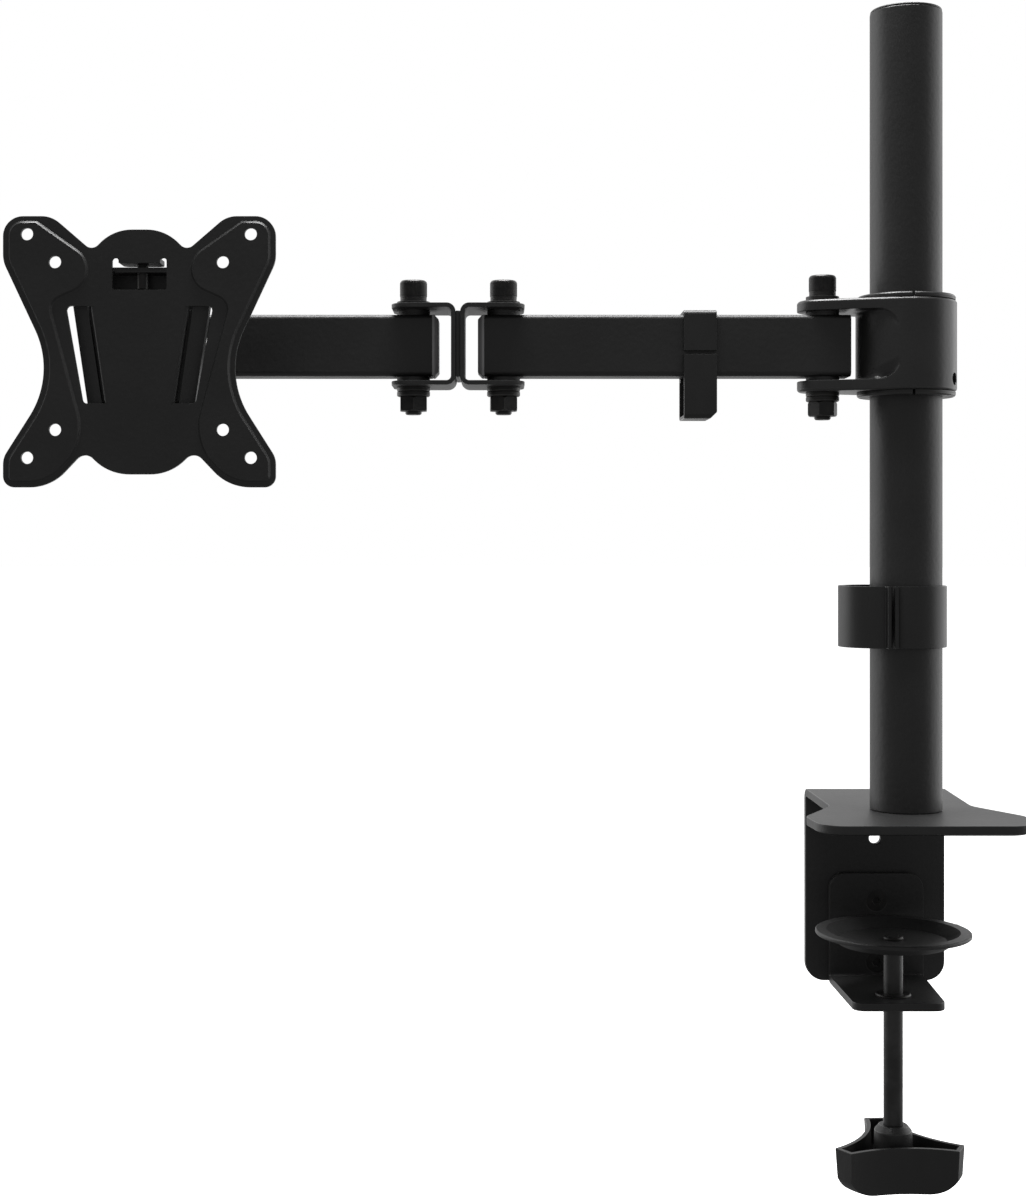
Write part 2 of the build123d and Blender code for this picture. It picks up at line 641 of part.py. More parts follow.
def tilt_washers():
    flat = ring(WASHER_RADIUS, BOLT + 0.1, TILT_OUTER, TILT_OUTER + 1.4)
    sprung = ring(HEAD_RADIUS + 0.4, BOLT + 0.1, TILT_OUTER + 1.4, TILT_OUTER + 2.8)
    nut_side = ring(WASHER_RADIUS, BOLT + 0.1, -TILT_OUTER - 1.6, -TILT_OUTER)
    return [tilt_place(washer) for washer in (flat, sprung, nut_side)]


def tilt_friction_washers():
    """Nylon washers between the two tilt channels' ears."""
    low, high = TILT_INNER + FACE, TILT_OUTER - TILT_SHEET
    return [tilt_place(ring(9.0, BOLT + 0.1, *span)) for span in ((low, high), (-high, -low))]


def tilt_bracket():
    """The inner tilt channel, which carries the turning plate."""
    web = BASE_FRONT + BASE + 1.2
    body = tilt_channel(TILT_INNER, web, web + TILT_SHEET, TILT_Y + 10.0)
    body -= Pos(0, TILT_Y, 0) * Rot(0, 90, 0) * disc(BOLT + FIT, -30, 30)
    return head_at(body - Rot(90, 0, 0) * disc(ROTOR_BOLT, 60, 80))


def tilt_spacer():
    """A tube that keeps the tilt bracket's ears apart on the bolt."""
    inside = TILT_INNER - TILT_SHEET
    return tilt_place(ring(6.2, BOLT + FIT, -inside, inside))


def facing(shape):
    """Turns a fastener's local Z to -Y, towards the screen, on the plate's axis."""
    return head_at(Rot(90, 0, 0) * shape)


def rotation_bolt():
    """The bolt that the screen plate turns on, its head behind the tilt bracket's web."""
    seat = -(BASE_FRONT + BASE + 1.2 + TILT_SHEET)
    head = chamfer(hexagon(16.0, seat - 5.0, seat).edges().group_by(Axis.Z)[0], 0.5)
    return facing(head + disc(ROTOR_BOLT, seat, -RAIL_Y - 0.6))


def rotation_nut():
    return facing(nut(-BASE_FRONT + 1.2, -RAIL_Y - 0.8, bore=ROTOR_BOLT, half=8.0))


def rotation_washers():
    """A friction washer behind the release bracket and a flat washer in front of it."""
    seat = -BASE_FRONT
    rear = ring(12.5, ROTOR_BOLT + 0.1, seat - BASE - 1.2, seat - BASE - FACE)
    front = ring(12.5, ROTOR_BOLT + 0.1, seat + FACE, seat + 1.2)
    return [facing(rear), facing(front)]


def wedge(inner_edge, outer_edge, low, high, outer_taper=TAPER, corner=0):
    """The right side of a wedge that narrows downwards: x edges are given at the plate's middle."""
    return rounded([
        (inner_edge + TAPER * low, low, 0),
        (outer_edge + outer_taper * low, low, corner),
        (outer_edge + outer_taper * high, high, corner),
        (inner_edge + TAPER * high, high, 0),
    ])


def trapezoid(edge, low, high):
    """A full-width wedge face, from -edge to edge."""
    half = [(edge + TAPER * low, low, 0), (edge + TAPER * high, high, 0)]
    return rounded(mirrored(half))


def lip_slope(side):
    """What is cut off one lip's front so that it slopes back towards its outer edge."""
    low = RAIL_LOW - 5
    edge = RAIL_Y + RAIL_LIP
    beyond = RAIL_OUTER + 5
    section = [(RAIL_INNER, RAIL_Y), (RAIL_OUTER, edge), (beyond, edge), (beyond, RAIL_Y - 1)]
    face = make_face(Polyline(*section, (RAIL_INNER, RAIL_Y - 1), close=True))
    start = Pos(TAPER * low, 0, low) * face
    slope = extrude(start, RAIL_HIGH + 5 - low, dir=(TAPER, 0, 1))
    return slope if side > 0 else mirror(slope, Plane.YZ)


def release_bracket():
    """The tapered channel that the screen plate drops onto, with a neck for the lock screw."""
    back = BASE_FRONT + BASE
    body = upright_face(trapezoid(RAIL_OUTER, RAIL_LOW, RAIL_HIGH), RAIL_Y, back)
    channel = trapezoid(RAIL_OUTER - RAIL_LIP, RAIL_LOW - 5, RAIL_HIGH + 5)
    body -= upright_face(channel, RAIL_Y + RAIL_LIP, BASE_FRONT)
    opening = trapezoid(RAIL_INNER, RAIL_LOW - 5, RAIL_HIGH + 5)
    body -= upright_face(opening, RAIL_Y - 1, RAIL_Y + RAIL_LIP + 1)
    for side in (1, -1):
        body -= lip_slope(side)
    top = LATCH_Z - 1.5
    neck = [
        (BASE_FRONT, 10.0, 0),
        (BASE_FRONT, 17.0, 1.0),
        (NECK_BACK - BASE, 23.5, 1.0),
        (NECK_BACK - BASE, top - PLATE, 0.6),
        (NECK_FRONT, top - PLATE, 0),
        (NECK_FRONT, top, 0),
        (NECK_BACK, top, 2.4),
        (NECK_BACK, 21.8, 1.0),
        (back, 15.6, 1.0),
        (back, 10.0, 0),
    ]
    body += side_face(rounded(neck), -NECK_HALF, NECK_HALF)
    body -= Pos(0, LATCH_Y, 0) * disc(2.8, top - 5, top + 5)
    return head_at(body - Rot(90, 0, 0) * disc(ROTOR_BOLT + FIT, 60, 90))


def plate_outline():
    """The four-lobed outline of the screen plate."""
    half = [
        (14.5, -57.4, 22.0),
        (24.2, -46.5, 5.0),
        (40.0, -63.2, 22.0),
        (61.0, -63.2, 5.0),
        (61.0, -50.0, 10.0),
        (37.3, -12.7, 40.0),
        (61.0, 38.0, 14.0),
        (61.0, 58.2, 9.0),
        (39.2, 58.2, 12.0),
        (20.8, 42.3, 4.0),
        (13.0, 52.2, 20.0),
    ]
    return rounded(mirrored(half))


def plate_middle():
    """The sunk middle of the screen plate, between its two raised pads."""
    half = [
        (60.0, -72.0, 0),
        (60.0, -61.2, 0),
        (18.6, -61.2, 25.2),
        (40.2, 19.6, 6.0),
        (12.1, 32.3, 10.7),
        (60.0, 66.0, 0),
        (60.0, 72.0, 0),
    ]
    return rounded(mirrored(half))


def vesa_plate():
    """The pressed screen plate, with its wedge tabs bent out of two slots and a latch tab above."""
    sunk = PLATE_FRONT + PAD_RISE
    back = sunk + PLATE
    body = upright_face(plate_outline(), sunk, back)
    pads = offset(plate_outline(), -2.2) - plate_middle()
    for face in pads.faces():
        body += extrude(Plane.XZ.offset(-sunk) * face, PAD_RISE, taper=40)
        body -= extrude(Plane.XZ.offset(-back) * offset(face, -1.2), PAD_RISE)
    tab_outer = TAB_INNER + TAB_WALL
    for side in (1, -1):
        slot = wedge(tab_outer, SLOT_OUTER, TAB_LOW - 1.2, TAB_HIGH + 1.2, SLOT_TAPER, 2.0)
        wall = wedge(TAB_INNER, tab_outer, TAB_LOW, TAB_HIGH)
        lip = wedge(TAB_INNER, RAIL_OUTER - RAIL_LIP - 0.4, TAB_LOW, TAB_HIGH)
        cut = upright_face(slot, sunk - 2, back + 1)
        tab = upright_face(wall, sunk + 0.4, TAB_Y[1]) + upright_face(lip, *TAB_Y)
        if side < 0:
            cut, tab = mirror(cut, Plane.YZ), mirror(tab, Plane.YZ)
        body = body - cut + tab
        edge = side * (tab_outer + TAPER * (TAB_LOW + TAB_HIGH) / 2)
        front = body.edges().filter_by(lambda e: abs(e.center().Y - sunk) < 0.01)
        bend = front.filter_by(lambda e: abs(e.center().X - edge) < 0.3)
        body = fillet(bend.sort_by(SortBy.LENGTH)[-1], TAB_BEND)
    window = [(WINDOW_HALF, WINDOW_LOW, 0.8), (WINDOW_HALF, LATCH_Z, 0)]
    body -= upright_face(rounded(mirrored(window)), sunk - 2, back + 1)
    for side in (1, -1):
        middle = side * (LATCH_HALF + WINDOW_HALF) / 2
        relief = (WINDOW_HALF - LATCH_HALF) / 2
        notch = Pos(middle, LATCH_Z + 0.8) * Circle(relief)
        notch += Pos(middle, LATCH_Z - 1) * Rectangle(2 * relief, 3.6)
        body -= upright_face(notch, sunk - 2, back + 1)
    latch = block((-LATCH_HALF, LATCH_HALF), (sunk + 0.4, LATCH_BACK), (LATCH_Z, LATCH_Z + PLATE))
    latch = fillet(latch.edges().filter_by(Axis.Z).group_by(Axis.Y)[-1], 3.0)
    body += latch - Pos(0, LATCH_Y, 0) * disc(2.5, 0, 60)
    for pitch in VESA:
        for x in (-pitch / 2, pitch / 2):
            for z in (-pitch / 2, pitch / 2):
                body -= Pos(x, 0, z) * Rot(90, 0, 0) * disc(SCREEN_HOLE, 70, 90)
    return head_at(body)


def lock_screw():
    """The screw that holds the screen plate down on the release bracket."""
    screw = cap_screw(LATCH_Z + PLATE, 26.0, radius=2.5, head_radius=4.3, head_height=4.0, key=3.0)
    return head_at(Pos(0, LATCH_Y, 0) * screw)


def elbow_pair(make, *details):
    """The same pivot pieces at both elbow pivots."""
    shapes = []
    for x in (INNER_ELBOW_X, OUTER_ELBOW_X):
        made = pivot_at(x, make(*details))
        shapes += made if isinstance(made, list) else [made]
    return shapes


COLLAR_TUBE_END = COLLAR_PIVOT_X + COLLAR_OVERHANG
NODES = {
    "clamp_bracket": clamp_bracket(),
    "desk_pad": desk_pad(),
    "pole_tube": pole_tube(),
    "pole_cap": pole_cap(),
    "pole_base_plug": pole_base_plug(),
    "pole_bolt": pole_bolt(),
    "jaw_bracket": jaw_bracket(),
    "jaw_screws": jaw_screws(),
    "jaw_thread_insert": jaw_thread_insert(),
    "pressure_cup": pressure_cup(),
    "spindle": spindle(),
    "cup_retainer": cup_retainer(),
    "knob": knob(),
    "pole_clip": pole_clip(),
    "upper_bush": upper_bush(),
    "lower_bush": lower_bush(),
    "collar": collar(),
    "collar_set_screw": collar_set_screw(),
    "collar_bolt": pivot_at(COLLAR_PIVOT_X, pivot_bolt(COLLAR_HALF)),
    "collar_nut": pivot_at(COLLAR_PIVOT_X, pivot_nut(COLLAR_HALF, 8)),
    "collar_washers": pivot_at(COLLAR_PIVOT_X, pivot_washers(COLLAR_HALF)),
    "collar_thrust_washers": pivot_at(COLLAR_PIVOT_X, thrust_washers(COLLAR_GAP_HALF)),
    "inner_arm_tube": arm_tube(
        COLLAR_TUBE_END, INNER_ELBOW_X - TUBE_OVERHANG, (COLLAR_PIVOT_X, INNER_ELBOW_X)
    ),
    "inner_arm_bushings": pivot_at(COLLAR_PIVOT_X, bushings()) + pivot_at(INNER_ELBOW_X, bushings()),
    "inner_arm_end_cap": end_cap(INNER_ELBOW_X - TUBE_OVERHANG, -1),
    "inner_arm_plug": tube_plug(),
    "arm_clip": arm_clip(),
    "inner_elbow_bracket": Pos(INNER_ELBOW_X, 0, ARM_Z) * Rot(0, 0, 180) * pivot_bracket(BRACKET_DEPTH),
    "outer_elbow_bracket": Pos(OUTER_ELBOW_X, 0, ARM_Z) * pivot_bracket(BRACKET_DEPTH),
    "elbow_spacer": elbow_spacer(),
    "elbow_bolts": elbow_pair(pivot_bolt, BRACKET_OUTER),
    "elbow_nuts": elbow_pair(pivot_nut, BRACKET_OUTER, 33),
    "elbow_washers": elbow_pair(pivot_washers, BRACKET_OUTER),
    "elbow_thrust_washers": elbow_pair(thrust_washers, BRACKET_GAP_HALF),
    "outer_arm_tube": arm_tube(
        OUTER_ELBOW_X + TUBE_OVERHANG, HEAD_X - TUBE_OVERHANG, (OUTER_ELBOW_X, HEAD_X)
    ),
    "outer_arm_bushings": pivot_at(OUTER_ELBOW_X, bushings()) + pivot_at(HEAD_X, bushings()),
    "outer_arm_end_caps": [end_cap(OUTER_ELBOW_X + TUBE_OVERHANG, 1), end_cap(HEAD_X - TUBE_OVERHANG, -1)],
    "swivel_yoke": swivel_yoke(),
    "swivel_bolt": pivot_at(HEAD_X, pivot_bolt(BRACKET_OUTER)),
    "swivel_nut": pivot_at(HEAD_X, pivot_nut(BRACKET_OUTER, 15)),
    "swivel_washers": pivot_at(HEAD_X, pivot_washers(BRACKET_OUTER)),
    "swivel_thrust_washers": pivot_at(HEAD_X, thrust_washers(BRACKET_GAP_HALF)),
    "tilt_yoke": tilt_yoke(),
    "yoke_rivets": yoke_rivets(),
    "tilt_bolt": tilt_bolt(),
    "tilt_nut": tilt_nut(),
    "tilt_washers": tilt_washers(),
    "tilt_friction_washers": tilt_friction_washers(),
    "tilt_bracket": tilt_bracket(),
    "tilt_spacer": tilt_spacer(),
    "rotation_bolt": rotation_bolt(),
    "rotation_nut": rotation_nut(),
    "rotation_washers": rotation_washers(),
    "release_bracket": release_bracket(),
    "vesa_plate": vesa_plate(),
    "lock_screw": lock_screw(),
}

os.makedirs("parts", exist_ok=True)
for name, shape in NODES.items():
    pieces = shape if isinstance(shape, list) else [shape]
    solids = [solid for piece in pieces for solid in piece.solids()]
    export_step(Compound(children=solids), f"parts/{name}.step")
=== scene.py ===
import json
import math
import bpy
from mathutils import Matrix, Vector

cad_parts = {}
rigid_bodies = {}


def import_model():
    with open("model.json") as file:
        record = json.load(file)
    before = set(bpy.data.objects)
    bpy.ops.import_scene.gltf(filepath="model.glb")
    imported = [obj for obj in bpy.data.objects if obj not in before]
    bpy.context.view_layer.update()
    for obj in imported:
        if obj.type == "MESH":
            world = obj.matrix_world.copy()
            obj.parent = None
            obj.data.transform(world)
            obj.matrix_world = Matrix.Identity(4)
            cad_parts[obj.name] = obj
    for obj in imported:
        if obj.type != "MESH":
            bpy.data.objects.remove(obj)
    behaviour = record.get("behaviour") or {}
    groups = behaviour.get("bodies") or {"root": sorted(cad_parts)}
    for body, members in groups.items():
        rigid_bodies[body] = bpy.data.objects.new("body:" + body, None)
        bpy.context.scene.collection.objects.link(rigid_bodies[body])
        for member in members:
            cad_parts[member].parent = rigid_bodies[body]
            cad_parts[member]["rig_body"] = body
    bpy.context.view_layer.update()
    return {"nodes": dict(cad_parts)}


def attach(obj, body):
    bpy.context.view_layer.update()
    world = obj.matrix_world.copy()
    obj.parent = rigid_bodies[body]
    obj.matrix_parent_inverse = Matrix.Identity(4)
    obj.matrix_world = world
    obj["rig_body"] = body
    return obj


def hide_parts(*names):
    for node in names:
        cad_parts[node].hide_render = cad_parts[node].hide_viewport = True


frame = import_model()
nodes = frame["nodes"]
MM = 0.001


# ---- black powder coat ----
# Baked polyester powder on every steel sheet, tube and plate: near black, with a fine pebbled skin that flows
# into slow waves, faint dust in the pebbles, and a thinner, smoother coat where it pulls back from an edge.
class Value:
    """A shader socket whose sums and products add their Math nodes."""

    def __init__(self, recipe, socket):
        self.recipe, self.socket = recipe, socket

    def maths(self, operation, a, b):
        return self.recipe.add("ShaderNodeMath", {"operation": operation}, {0: a, 1: b})

    def __add__(self, other):
        return self.maths("ADD", self, other)

    def __mul__(self, other):
        return self.maths("MULTIPLY", self, other)

    __radd__, __rmul__ = __add__, __mul__

    def between(self, low, high):
        """0 below low, 1 above high, and a smooth step in between."""
        names = {"Value": self, "From Min": low, "From Max": high}
        return self.recipe.add("ShaderNodeMapRange", {"interpolation_type": "SMOOTHSTEP"}, names)


class Recipe:
    """One material's node tree. Every node but the sums comes from add."""

    def __init__(self, name):
        self.material = bpy.data.materials.new(name)
        self.material.use_nodes = True
        self.tree = self.material.node_tree
        self.tree.nodes.clear()

    def add(self, kind, settings=None, inputs=None, out=0):
        node = self.tree.nodes.new(kind)
        for key, value in (settings or {}).items():
            setattr(node, key, value)
        for key, value in (inputs or {}).items():
            if isinstance(value, Value):
                self.tree.links.new(value.socket, node.inputs[key])
            else:
                node.inputs[key].default_value = value
        return Value(self, node.outputs[out]) if node.outputs else None

    def place(self):
        return self.add("ShaderNodeTexCoord", out="Object")

    def stretched(self, scale):
        return self.add("ShaderNodeMapping", {}, {"Vector": self.place(), "Scale": scale})

    def noise(self, scale, detail=2.0, rough=0.5, where=None):
        inputs = {"Vector": where or self.place(), "Scale": scale, "Detail": detail, "Roughness": rough}
        return self.add("ShaderNodeTexNoise", {}, inputs)

    def cells(self, scale):
        return self.add("ShaderNodeTexVoronoi", {}, {"Vector": self.place(), "Scale": scale})

    def blend(self, mask, low, high):
        """A colour that runs from low to high as the mask goes from 0 to 1."""
        inputs = {0: mask, 6: low, 7: high}
        return self.add("ShaderNodeMix", {"data_type": "RGBA"}, inputs, out=2)

    def bump(self, height, depth, under=None):
        """A normal from a height, its full depth in metres, on top of another bump if one is given."""
        inputs = {"Height": height, "Distance": depth, "Strength": 1.0}
        if under:
            inputs["Normal"] = under
        return self.add("ShaderNodeBump", {}, inputs)

    def surface(self, **sockets):
        values = {socket.replace("_", " "): value for socket, value in sockets.items()}
        shader = self.add("ShaderNodeBsdfPrincipled", {}, values)
        self.add("ShaderNodeOutputMaterial", {}, {"Surface": shader})
        return self.material


def grey(level, warmth=0.0):
    """A near-neutral colour; warmth tips it towards red and away from blue."""
    return (level * (1 + warmth), level, level * (1 - warmth), 1)


def powder_coat(name, level, roughness, pebble, wave):
    """A coat of one grey level, with the depths in metres of its pebbles and of its slow waves."""
    coat = Recipe(name)
    drift = coat.noise(28, 3)
    pebbles = coat.noise(2300, 1.5, 0.6)
    waves = coat.noise(420, 1)
    dust = coat.cells(1500).between(0.10, 0.02) * coat.noise(60, 2).between(0.5, 0.75)
    shade = drift * 0.6 + pebbles * 0.4
    colour = coat.blend(shade.between(0.3, 0.7), grey(level * 0.8), grey(level * 1.2))
    colour = coat.blend(dust * 0.35, colour, grey(level * 3.2))
    rough = drift * 0.14 + pebbles * 0.10 + (roughness - 0.12)
    skin = coat.bump(waves, wave)
    return coat.surface(
        Base_Color=colour,
        Roughness=rough,
        Normal=coat.bump(pebbles, pebble, skin),
    )


SHEET_COAT = powder_coat("sheet_powder_coat", 0.020, 0.46, 0.000035, 0.00010)
EDGE_COAT = powder_coat("sheet_edge_coat", 0.030, 0.31, 0.000012, 0.00004)


# ---- carried-over steel ----
# The bent, pressed and welded parts. Each real edge is dulled by the shot blast and rounded by its coat, so
# each one is a welded-up copy of its CAD node with every sharp edge rounded and coated as an edge.
def select_nothing():
    for obj in bpy.context.selected_objects:
        obj.select_set(False)


def welded_copy(node):
    """A piece of its own from one CAD node's triangles, merged, with its flat faces made whole."""
    copy = nodes[node].copy()
    copy.data = nodes[node].data.copy()
    copy.parent = None
    for key in list(copy.keys()):
        del copy[key]
    copy.name = copy.data.name = node + "_piece"
    bpy.context.scene.collection.objects.link(copy)
    select_nothing()
    copy.hide_render = copy.hide_viewport = False
    copy.select_set(True)
    bpy.context.view_layer.objects.active = copy
    if copy.data.has_custom_normals:
        bpy.ops.mesh.customdata_custom_splitnormals_clear()
    bpy.ops.object.mode_set(mode="EDIT")
    bpy.ops.mesh.select_all(action="SELECT")
    bpy.ops.mesh.remove_doubles(threshold=0.02 * MM)
    bpy.ops.mesh.dissolve_limited(angle_limit=math.radians(0.6))
    bpy.ops.object.mode_set(mode="OBJECT")
    return copy


def rounded_edges(piece, width, sharp=32, segments=2):
    """Rounds the sharp edges; the new faces take the piece's second material."""
    soften = piece.modifiers.new("rounding", "BEVEL")
    soften.width, soften.segments = width, segments
    soften.limit_method, soften.angle_limit = "ANGLE", math.radians(sharp)
    soften.use_clamp_overlap = False
    soften.material = 1
    bpy.ops.object.modifier_apply(modifier="rounding")
    bpy.ops.object.shade_smooth_by_angle(angle=math.radians(30))
    level = piece.modifiers.new("flat faces stay flat", "WEIGHTED_NORMAL")
    level.keep_sharp = True
    bpy.ops.object.modifier_apply(modifier=level.name)


def dress(piece, slot, body, *materials):
    """Gives a finished piece its materials and the body it moves with. The slot argument is not used."""
    piece.data.materials.clear()
    for material in materials:
        piece.data.materials.append(material)
    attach(piece, body)


BODY_OF = {node: obj["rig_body"] for node, obj in nodes.items()}


def coated(node, width, face=SHEET_COAT, edge=EDGE_COAT, slot="black_powder_coat", sharp=32):
    """The finished piece that stands in for one CAD node, its faces in one coat and its edges in another."""
    piece = welded_copy(node)
    for material in (face, edge):
        piece.data.materials.append(material)
    for polygon in piece.data.polygons:
        polygon.material_index = 0
    rounded_edges(piece, width, sharp)
    indices = [polygon.material_index for polygon in piece.data.polygons]
    dress(piece, slot, BODY_OF[node], face, edge)
    piece.data.polygons.foreach_set("material_index", indices)
    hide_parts(node)


SHEET_PARTS = (
    "clamp_bracket jaw_bracket inner_elbow_bracket outer_elbow_bracket elbow_spacer "
    "swivel_yoke tilt_yoke tilt_bracket release_bracket"
).split()
BENT_EDGE, SAWN_EDGE, PRESSED_EDGE = 0.35 * MM, 0.25 * MM, 0.12 * MM
for node in SHEET_PARTS:
    coated(node, BENT_EDGE)
for node in ("inner_arm_tube", "outer_arm_tube", "pole_tube"):
    coated(node, SAWN_EDGE)
coated("vesa_plate", PRESSED_EDGE, sharp=45)
coated("pressure_cup", PRESSED_EDGE, sharp=40)

# ---- cast collar ----
# The sleeve that carries the arm on the pole, with its two ears: a zinc casting under a smoother, slightly
# glossier coat, which shows long soft highlights on its chamfers.
CAST_COAT = powder_coat("cast_collar_coat", 0.022, 0.36, 0.000018, 0.00006)
CAST_EDGE = powder_coat("cast_collar_edge_coat", 0.034, 0.30, 0.000010, 0.00003)
CAST_ROUNDING = 0.4 * MM
coated("collar", CAST_ROUNDING, CAST_COAT, CAST_EDGE)


# ---- moulded nylon ----
# Clips, bushes, end caps, knob and pole cap: injection-moulded satin black nylon with a spark-eroded grain
# and slow flow marks, its edges polished by handling. The arms' end caps are coloured a light grey, a painted
# reflection of the bright backdrop that glances along them.
def moulded(name, level, roughness, grain):
    nylon = Recipe(name)
    flow = nylon.noise(40, 4, 0.6, nylon.stretched((1, 1, 0.4)))
    pits = nylon.cells(1700)
    fine = nylon.noise(3600, 2)
    colour = nylon.blend(flow.between(0.35, 0.7), grey(level * 0.85), grey(level * 1.2))
    rough = flow * 0.16 + fine * 0.08 + (roughness - 0.12)
    return nylon.surface(
        Base_Color=colour,
        Roughness=rough,
        Normal=nylon.bump(pits * 0.6 + fine * 0.4, grain),
    )


NYLON = moulded("satin_black_nylon", 0.016, 0.42, 0.00004)
NYLON_EDGE = moulded("satin_black_nylon_edges", 0.026, 0.24, 0.00001)
DARK_NYLON = moulded("dark_grey_nylon", 0.045, 0.5, 0.00005)
MOULD_RADIUS = 0.3 * MM
for node in ("pole_clip", "arm_clip", "knob", "upper_bush", "lower_bush", "pole_cap"):
    coated(node, MOULD_RADIUS, NYLON, NYLON_EDGE, "black_nylon")
# The end caps' light grey is a painted reflection of the bright backdrop along them.
PAINTED_REFLECTION_CAP_NYLON = moulded("end_cap_nylon_painted_reflection", 0.30, 0.40, 0.00005)
for node in ("inner_arm_end_cap", "outer_arm_end_caps"):
    coated(node, MOULD_RADIUS, PAINTED_REFLECTION_CAP_NYLON, PAINTED_REFLECTION_CAP_NYLON, "grey_black_nylon")


# ---- black oxide fasteners ----
# Pivot bolts, nuts, washers and screws: machined steel, chemically blackened and oiled. The finish is cloudy
# and finely scratched along the shanks, and rubbed to a brighter grey on the edges.
def black_oxide(name, level, roughness):
    oxide = Recipe(name)
    cloud = oxide.noise(180, 4, 0.6)
    scratch = oxide.noise(900, 2, 0.5, oxide.stretched((1, 1, 6)))
    colour = oxide.blend(cloud.between(0.35, 0.7), grey(level * 0.7), grey(level * 1.4, 0.03))
    rough = cloud * 0.2 + scratch * 0.1 + (roughness - 0.15)
    return oxide.surface(
        Base_Color=colour,
        Roughness=rough,
        Metallic=cloud.between(0.3, 0.8) * 0.3 + 0.4,
        Normal=oxide.bump(scratch * 0.5 + cloud * 0.5, 0.00003),
    )


OXIDE = black_oxide("black_oxide_steel", 0.028, 0.40)
OXIDE_EDGE = black_oxide("black_oxide_rubbed_edges", 0.06, 0.32)
FASTENERS = (
    "collar_bolt collar_nut collar_washers elbow_bolts elbow_nuts elbow_washers swivel_bolt swivel_nut "
    "swivel_washers tilt_bolt tilt_nut tilt_washers jaw_screws collar_set_screw rotation_bolt "
    "rotation_nut rotation_washers lock_screw cup_retainer yoke_rivets"
).split()
MACHINED_EDGE = 0.18 * MM
for node in FASTENERS:
    coated(node, MACHINED_EDGE, OXIDE, OXIDE_EDGE, "black_oxide_steel")


# ---- knurled bolt heads ----
# The pivot bolts' socket heads carry a rolled straight knurl that lets them be started by hand. One sleeve of
# ribs is raised from a tube's facets, closed over its rims and copied, with its own mesh, to every head.
def knurled_sleeve(radius, height, ribs):
    groove, rise, wall = 0.10 * MM, 0.16 * MM, 0.92
    select_nothing()
    bpy.ops.mesh.primitive_cylinder_add(vertices=ribs, radius=radius, depth=height, end_fill_type="NOTHING")
    sleeve = bpy.context.object
    bpy.ops.object.mode_set(mode="EDIT")
    bpy.ops.mesh.select_all(action="SELECT")
    bpy.ops.mesh.inset(thickness=groove, depth=rise, use_individual=True)
    bpy.ops.mesh.select_all(action="DESELECT")
    bpy.ops.mesh.select_non_manifold()
    bpy.ops.mesh.extrude_edges_move()
    bpy.ops.transform.resize(value=(wall, wall, 0.98), center_override=(0, 0, 0))
    bpy.ops.mesh.select_all(action="DESELECT")
    bpy.ops.mesh.select_non_manifold()
    bpy.ops.mesh.bridge_edge_loops()
    bpy.ops.mesh.select_all(action="SELECT")
    bpy.ops.mesh.normals_make_consistent(inside=False)
    bpy.ops.object.mode_set(mode="OBJECT")
    bpy.ops.object.shade_smooth_by_angle(angle=math.radians(30))
    return sleeve


def head_places(node, heads):
    """Each head's axis and top, from the highest points of each bolt in the node."""
    points = sorted((point.co.copy() for point in nodes[node].data.vertices), key=lambda point: point.x)
    left, right = points[0].x, points[-1].x
    groups = [[point for point in points if (point.x - left) * heads // (right - left + MM) == i]
              for i in range(heads)]
    return [((group[0].x + group[-1].x) / 2, max(point.z for point in group)) for group in groups]


HEAD_RADIUS, HEAD_HEIGHT, HEAD_LIP = 6.5 * MM, 9.0 * MM, 1.2 * MM
KNURL_RIBS = 64
sleeve = knurled_sleeve(HEAD_RADIUS, HEAD_HEIGHT - 2 * HEAD_LIP, KNURL_RIBS)
for node, heads in (("collar_bolt", 1), ("elbow_bolts", 2), ("swivel_bolt", 1)):
    for axis, top in head_places(node, heads):
        ribs = sleeve.copy()
        ribs.data = sleeve.data.copy()
        ribs.data.transform(Matrix.Translation((axis, 0, top - HEAD_HEIGHT / 2)))
        ribs.name = ribs.data.name = f"{node}_knurl_{round(axis / MM)}"
        bpy.context.scene.collection.objects.link(ribs)
        dress(ribs, "black_oxide_steel", BODY_OF[node], OXIDE)
bpy.data.objects.remove(sleeve)


# ---- spindle ----
# The clamp's screw, turned from steel and plated in black zinc: fine rings round its axis and a soft sheen
# down its sides. Its threaded insert is riveted into the jaw and blackened like the fasteners.
def turned_zinc(name, level, roughness):
    zinc = Recipe(name)
    rings = zinc.noise(1.0, 2, 0.5, zinc.stretched((20, 20, 2600)))
    cloud = zinc.noise(90, 3)
    colour = zinc.blend(cloud.between(0.3, 0.7), grey(level * 0.8), grey(level * 1.2))
    return zinc.surface(
        Base_Color=colour,
        Roughness=cloud * 0.12 + rings * 0.1 + (roughness - 0.1),
        Metallic=0.85,
        Normal=zinc.bump(rings, 0.00002),
    )


ZINC = turned_zinc("black_zinc_turned_steel", 0.06, 0.36)
TURNED_EDGE = 0.2 * MM
coated("spindle", TURNED_EDGE, ZINC, ZINC, "dark_zinc_steel")
coated("jaw_thread_insert", TURNED_EDGE, OXIDE, OXIDE, "dark_zinc_steel")


# ---- hidden pieces ----
# Plugs, bushings, thrust washers and the pole's bolt sit inside others or show only as thin lines, so the
# CAD nodes stay and take the finish of their kind.
HIDDEN = {
    "pole_base_plug": ZINC,
    "pole_bolt": OXIDE,
    "tilt_spacer": OXIDE,
    "inner_arm_plug": DARK_NYLON,
    "inner_arm_bushings": DARK_NYLON,
    "outer_arm_bushings": DARK_NYLON,
    "collar_thrust_washers": DARK_NYLON,
    "elbow_thrust_washers": DARK_NYLON,
    "swivel_thrust_washers": DARK_NYLON,
    "tilt_friction_washers": DARK_NYLON,
}
for node, material in HIDDEN.items():
    nodes[node].data.materials.clear()
    nodes[node].data.materials.append(material)
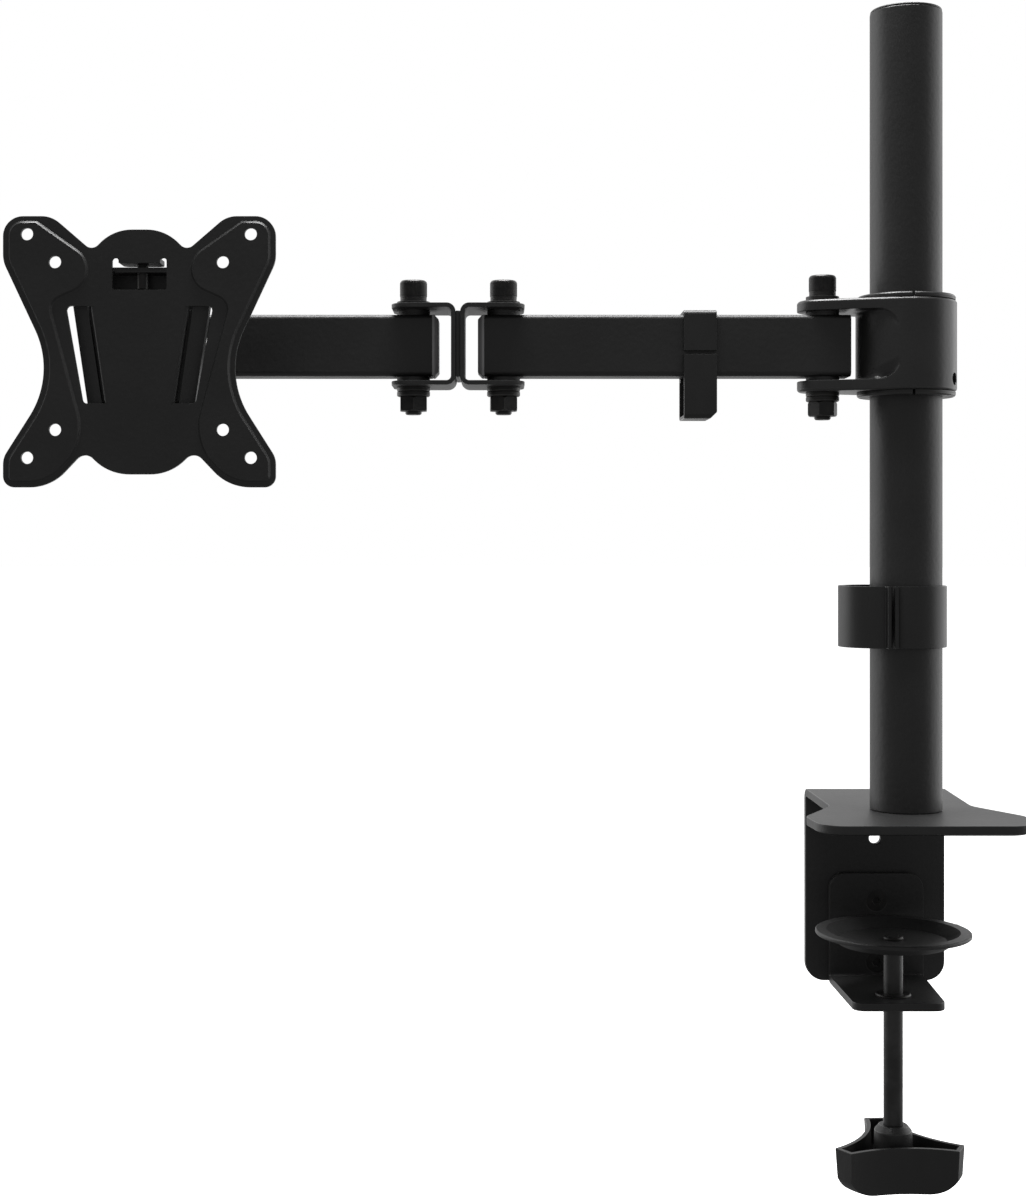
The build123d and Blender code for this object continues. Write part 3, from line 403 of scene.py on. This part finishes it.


# ---- desk pad ----
# A die-cut sheet of closed-cell foam glued under the deck, so that the clamp doesn't mark the desk. Its edges
# are slightly rounded.
def foam(name):
    rubber = Recipe(name)
    pores = rubber.cells(2600)
    patches = rubber.noise(150, 3)
    colour = rubber.blend(pores.between(0.15, 0.5), grey(0.010), grey(0.028))
    return rubber.surface(
        Base_Color=colour,
        Roughness=patches * 0.15 + 0.78,
        Normal=rubber.bump(pores, 0.00015),
        Specular_IOR_Level=0.3,
    )


FOAM = foam("black_closed_cell_foam")
pad = welded_copy("desk_pad")
rounded_edges(pad, 0.3 * MM, sharp=40, segments=3)
dress(pad, "black_foam", BODY_OF["desk_pad"], FOAM)
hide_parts("desk_pad")


# ---- floor, light and camera ----
# A seamless pale floor well below the clamp, one big soft box behind, one at each side and one overhead, an
# even fill from the room, and a level camera a little below the pole's middle.
def studio_floor():
    select_nothing()
    bpy.ops.mesh.primitive_circle_add(vertices=96, radius=30, fill_type="NGON", location=(-0.2, 0, -0.45))
    floor = bpy.context.object
    floor.name = "studio_floor"
    paper = Recipe("pale_paper")
    fibre = paper.noise(60, 3)
    floor.data.materials.append(paper.surface(
        Base_Color=paper.blend(fibre, grey(0.86), grey(0.90)),
        Roughness=fibre * 0.1 + 0.8,
        Emission_Color=grey(1.0),
        Emission_Strength=1.0,
    ))
    floor.visible_diffuse = floor.visible_glossy = False


def soft_box(name, location, aim, width, height, power):
    lamp = bpy.data.lights.new(name, "AREA")
    lamp.shape, lamp.size, lamp.size_y, lamp.energy = "RECTANGLE", width, height, power
    holder = bpy.data.objects.new(name, lamp)
    holder.location = location
    holder.rotation_euler = (Vector(aim) - Vector(location)).to_track_quat("-Z", "Y").to_euler()
    holder.visible_camera = False
    bpy.context.scene.collection.objects.link(holder)


studio_floor()
soft_box("back_card", (-0.2, 2.6, 0.6), (-0.2, 0.0, 0.2), 7.0, 4.0, 50)
soft_box("left_box", (-1.6, 0.7, 0.4), (-0.2, 0.0, 0.15), 1.3, 1.6, 9)
soft_box("right_box", (1.4, 0.45, 0.35), (-0.1, 0.0, 0.15), 1.7, 1.6, 12)
soft_box("overhead_box", (-0.2, 0.05, 1.5), (-0.2, 0.0, 0.1), 1.0, 0.7, 46)

world = bpy.data.worlds.new("studio")
world.use_nodes = True
tree = world.node_tree
tree.nodes.clear()
fill = tree.nodes.new("ShaderNodeBackground")
fill.inputs["Color"].default_value, fill.inputs["Strength"].default_value = (1, 1, 1, 1), 0.24
backdrop = tree.nodes.new("ShaderNodeBackground")
backdrop.inputs["Color"].default_value, backdrop.inputs["Strength"].default_value = (1, 1, 1, 1), 1.0
switch = tree.nodes.new("ShaderNodeMixShader")
tree.links.new(tree.nodes.new("ShaderNodeLightPath").outputs["Is Camera Ray"], switch.inputs[0])
tree.links.new(fill.outputs[0], switch.inputs[1])
tree.links.new(backdrop.outputs[0], switch.inputs[2])
tree.links.new(switch.outputs[0], tree.nodes.new("ShaderNodeOutputWorld").inputs["Surface"])
bpy.context.scene.world = world

lens = bpy.data.cameras.new("camera")
lens.lens, lens.sensor_width = 57.0, 36.0
lens.shift_x, lens.shift_y = 0.015, -0.0583
lens.clip_start, lens.clip_end = 0.05, 100
camera = bpy.data.objects.new("camera", lens)
camera.location = (-0.2018, -0.933, 0.1422)
camera.rotation_euler = (math.radians(90), 0, 0)
bpy.context.scene.collection.objects.link(camera)
bpy.context.scene.camera = camera
bpy.context.scene.view_settings.view_transform = "Standard"
